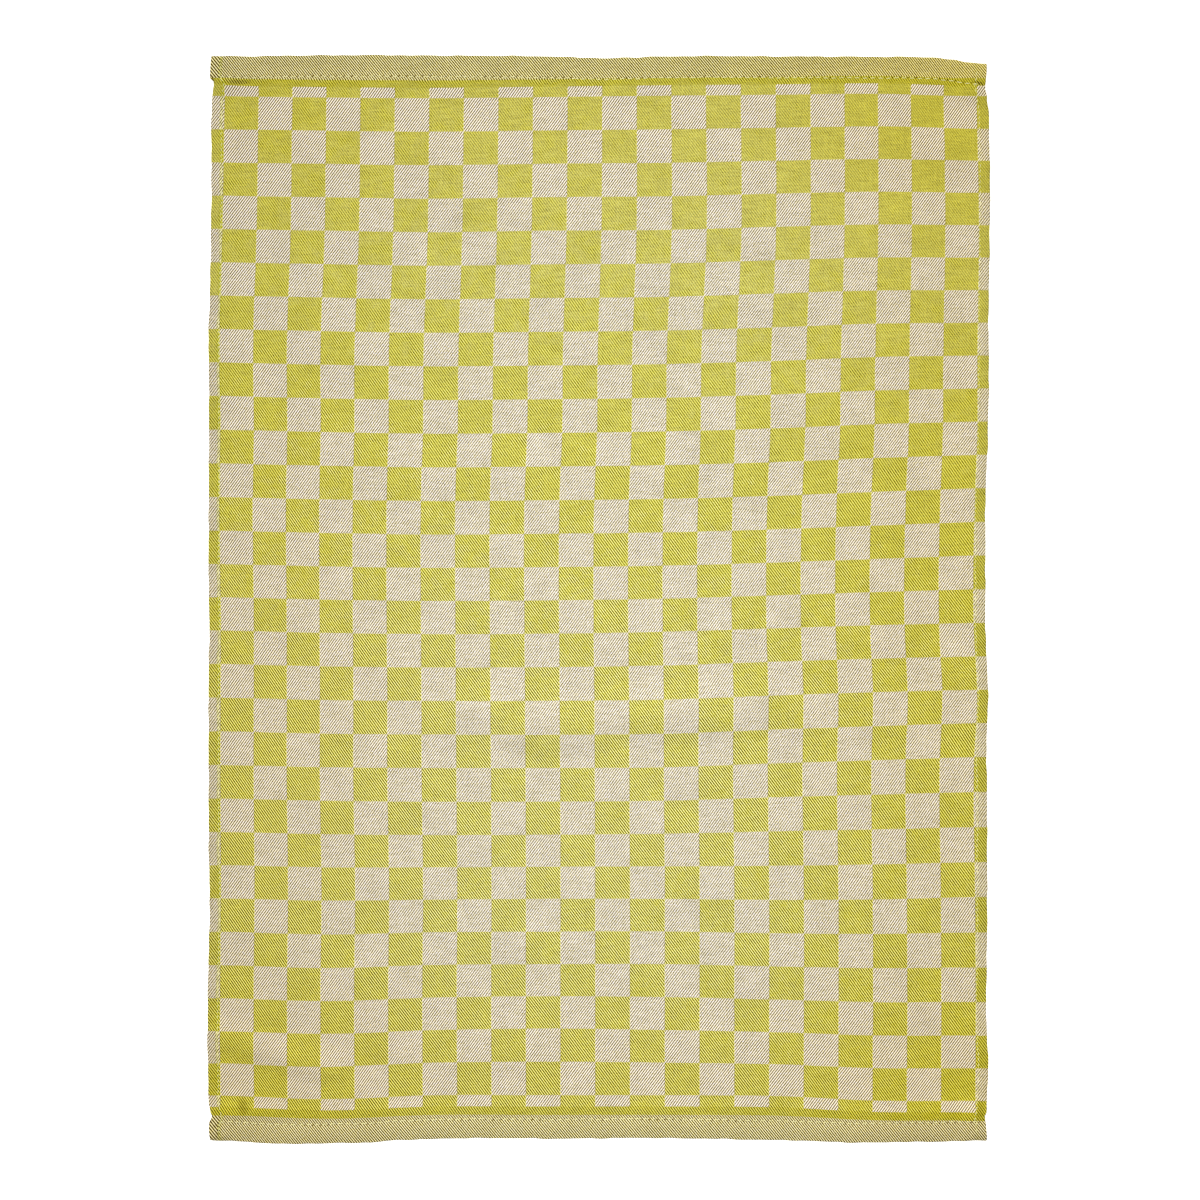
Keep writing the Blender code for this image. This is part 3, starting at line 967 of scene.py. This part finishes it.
def make_cotton(name, turned_over):
    """Cotton whose colour, roughness and height come from the cloth group."""
    material, board, shader = new_material(name)
    given = {label: board.add("ShaderNodeUVMap", uv_map=label)[0] for label in ("Weave", "Seams")}
    place = board.tree.nodes.new("ShaderNodeTexCoord").outputs["Object"]
    given.update({"Place": Value(board, place), "Turned over": turned_over})
    colour, height, roughness = board.add("ShaderNodeGroup", given, node_tree=cloth_group)
    relief = board.add("ShaderNodeBump", {"Strength": 0.25, "Distance": 0.1 * MM, "Height": height})[0]
    board.feed(shader, {"Base Color": colour, "Roughness": roughness, "Normal": relief,
                        "Specular IOR Level": 0.05, "Sheen Weight": 0.01, "Sheen Roughness": 0.6})
    return material


for name, turned_over in (("cotton_face", 0.0), ("cotton_back", 1.0)):
    sheet.data.materials.append(make_cotton(name, turned_over))
print("materials:", [material.name for material in sheet.data.materials])

# %% [markdown]
# The thread is two plies twisted round each other, so light and dark bands run across each stitch
# at a slant: a sine of the way along plus the way around. The dark band is painted shade in the
# groove between the plies.

# %% Thread material
# The groove's colour is painted shade between the plies.
THREAD_GROOVE_SHADE = (0.62, 0.58, 0.20)
THREAD_PLY = (0.95, 0.92, 0.55)
TWISTS = 4.0                          # bands along a stitch


def make_thread(name):
    """Two plies, from the groove's painted shade to the crest, at a height that follows them."""
    material, board, shader = new_material(name)
    along, around, _ = board.split(board.add("ShaderNodeUVMap", uv_map="Thread")[0])
    wave = board.math("SINE", (along * TWISTS + around) * (2 * math.pi))
    band = 0.5 + 0.5 * wave
    relief = board.add("ShaderNodeBump", {"Distance": 0.05 * MM, "Height": band})[0]
    board.feed(shader, {"Base Color": board.blend(band, THREAD_GROOVE_SHADE, THREAD_PLY),
                        "Roughness": 0.75, "Normal": relief})
    return material


thread_material = make_thread("seam_thread")
for piece in threads:
    piece.data.materials.append(thread_material)

# %% [markdown]
# ## Floor, light and camera
#
# The towel lies on a white table and is seen straight from above through a long lens. A wide lamp
# hangs half a metre over its middle, which is why its edges are a little darker. A soft sun from
# the top end makes the folds show, and a white sky fills the rest. The table glows a little of its
# own, as it does on a light table, so it burns out to pure white and takes no shadow.

# %% Floor
FLOOR_HALF = 6.0                      # half the table's side
FLOOR_GAP = 0.2 * MM                  # the table's top is just under the cloth
WHITE = (1.0, 1.0, 1.0)


def make_floor():
    """A large square of white table with its top just under z = 0."""
    span = (-FLOOR_HALF, FLOOR_HALF)
    corners = np.stack(np.meshgrid(span, span) + [np.full((2, 2), -FLOOR_GAP)], axis=-1)
    piece = add_piece("floor", grid_mesh("floor", corners, ()))
    material, board, shader = new_material("white_table")
    board.feed(shader, {"Base Color": (0.95, 0.95, 0.95), "Roughness": 0.9,
                        "Emission Color": WHITE, "Emission Strength": 0.7})
    piece.data.materials.append(material)
    return piece


floor = make_floor()

# %% Light
def aim(piece, target):
    """Turn a lamp or camera so that its -Z points at the target and its Y stays upward."""
    piece.rotation_euler = (piece.location - target).to_track_quat("Z", "Y").to_euler()


def add_lamp(name, lamp, place):
    """A lamp at the place, aimed at the middle of the towel."""
    piece = bpy.data.objects.new(name, lamp)
    piece.location = place
    bpy.context.scene.collection.objects.link(piece)
    aim(piece, Vector((0.0, 0.0, 0.0)))
    return piece


def strip_lamp(name, place, size, brightness):
    """A rectangular lamp. Its power gives a white card under it about the asked brightness: pi^2
    times the distance squared times that brightness, for a small lamp straight above."""
    lamp = bpy.data.lights.new(name, "AREA")
    lamp.shape = "RECTANGLE"
    lamp.size, lamp.size_y = size
    lamp.energy = brightness * math.pi ** 2 * Vector(place).length_squared
    add_lamp(name, lamp, place).visible_camera = False


def sun_lamp(name, place, brightness, angle):
    """A sun from the direction of the place: a white card that lies flat gets the brightness."""
    lamp = bpy.data.lights.new(name, "SUN")
    lamp.energy = brightness * math.pi * Vector(place).length / place[2]
    lamp.angle = math.radians(angle)
    add_lamp(name, lamp, place)


strip_lamp("overhead", (0.0, 0.0, 0.50), size=(0.4, 0.9), brightness=1.10)
sun_lamp("top_sun", (-0.3, 1.0, 1.24), brightness=0.49, angle=40)
SKY = 0.27                            # the sky's own brightness
world = bpy.data.worlds.new("white_sky")
world.use_nodes = True
sky = world.node_tree.nodes["Background"]
sky.inputs["Color"].default_value = (*WHITE, 1.0)
sky.inputs["Strength"].default_value = SKY
bpy.context.scene.world = world
bpy.context.scene.view_settings.view_transform = "Standard"
bpy.context.scene.cycles.use_denoising = False    # a denoiser takes so fine a weave for noise

# %% Camera
PICTURE_WIDTH = 774 * MM              # of the table, across the picture
PICTURE_CENTRE = (0.78 * MM, -0.43 * MM)
lens = bpy.data.cameras.new("camera")
lens.lens = 100
lens.sensor_width = 36
camera = bpy.data.objects.new("camera", lens)
camera.location = (*PICTURE_CENTRE, PICTURE_WIDTH * lens.lens / lens.sensor_width)
bpy.context.scene.collection.objects.link(camera)
bpy.context.scene.camera = camera
print("camera height:", round(camera.location.z, 3), "m")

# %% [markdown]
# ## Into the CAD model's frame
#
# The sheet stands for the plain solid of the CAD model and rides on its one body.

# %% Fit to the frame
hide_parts("towel_cloth")
for piece in (sheet, *threads):
    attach(piece, "root")
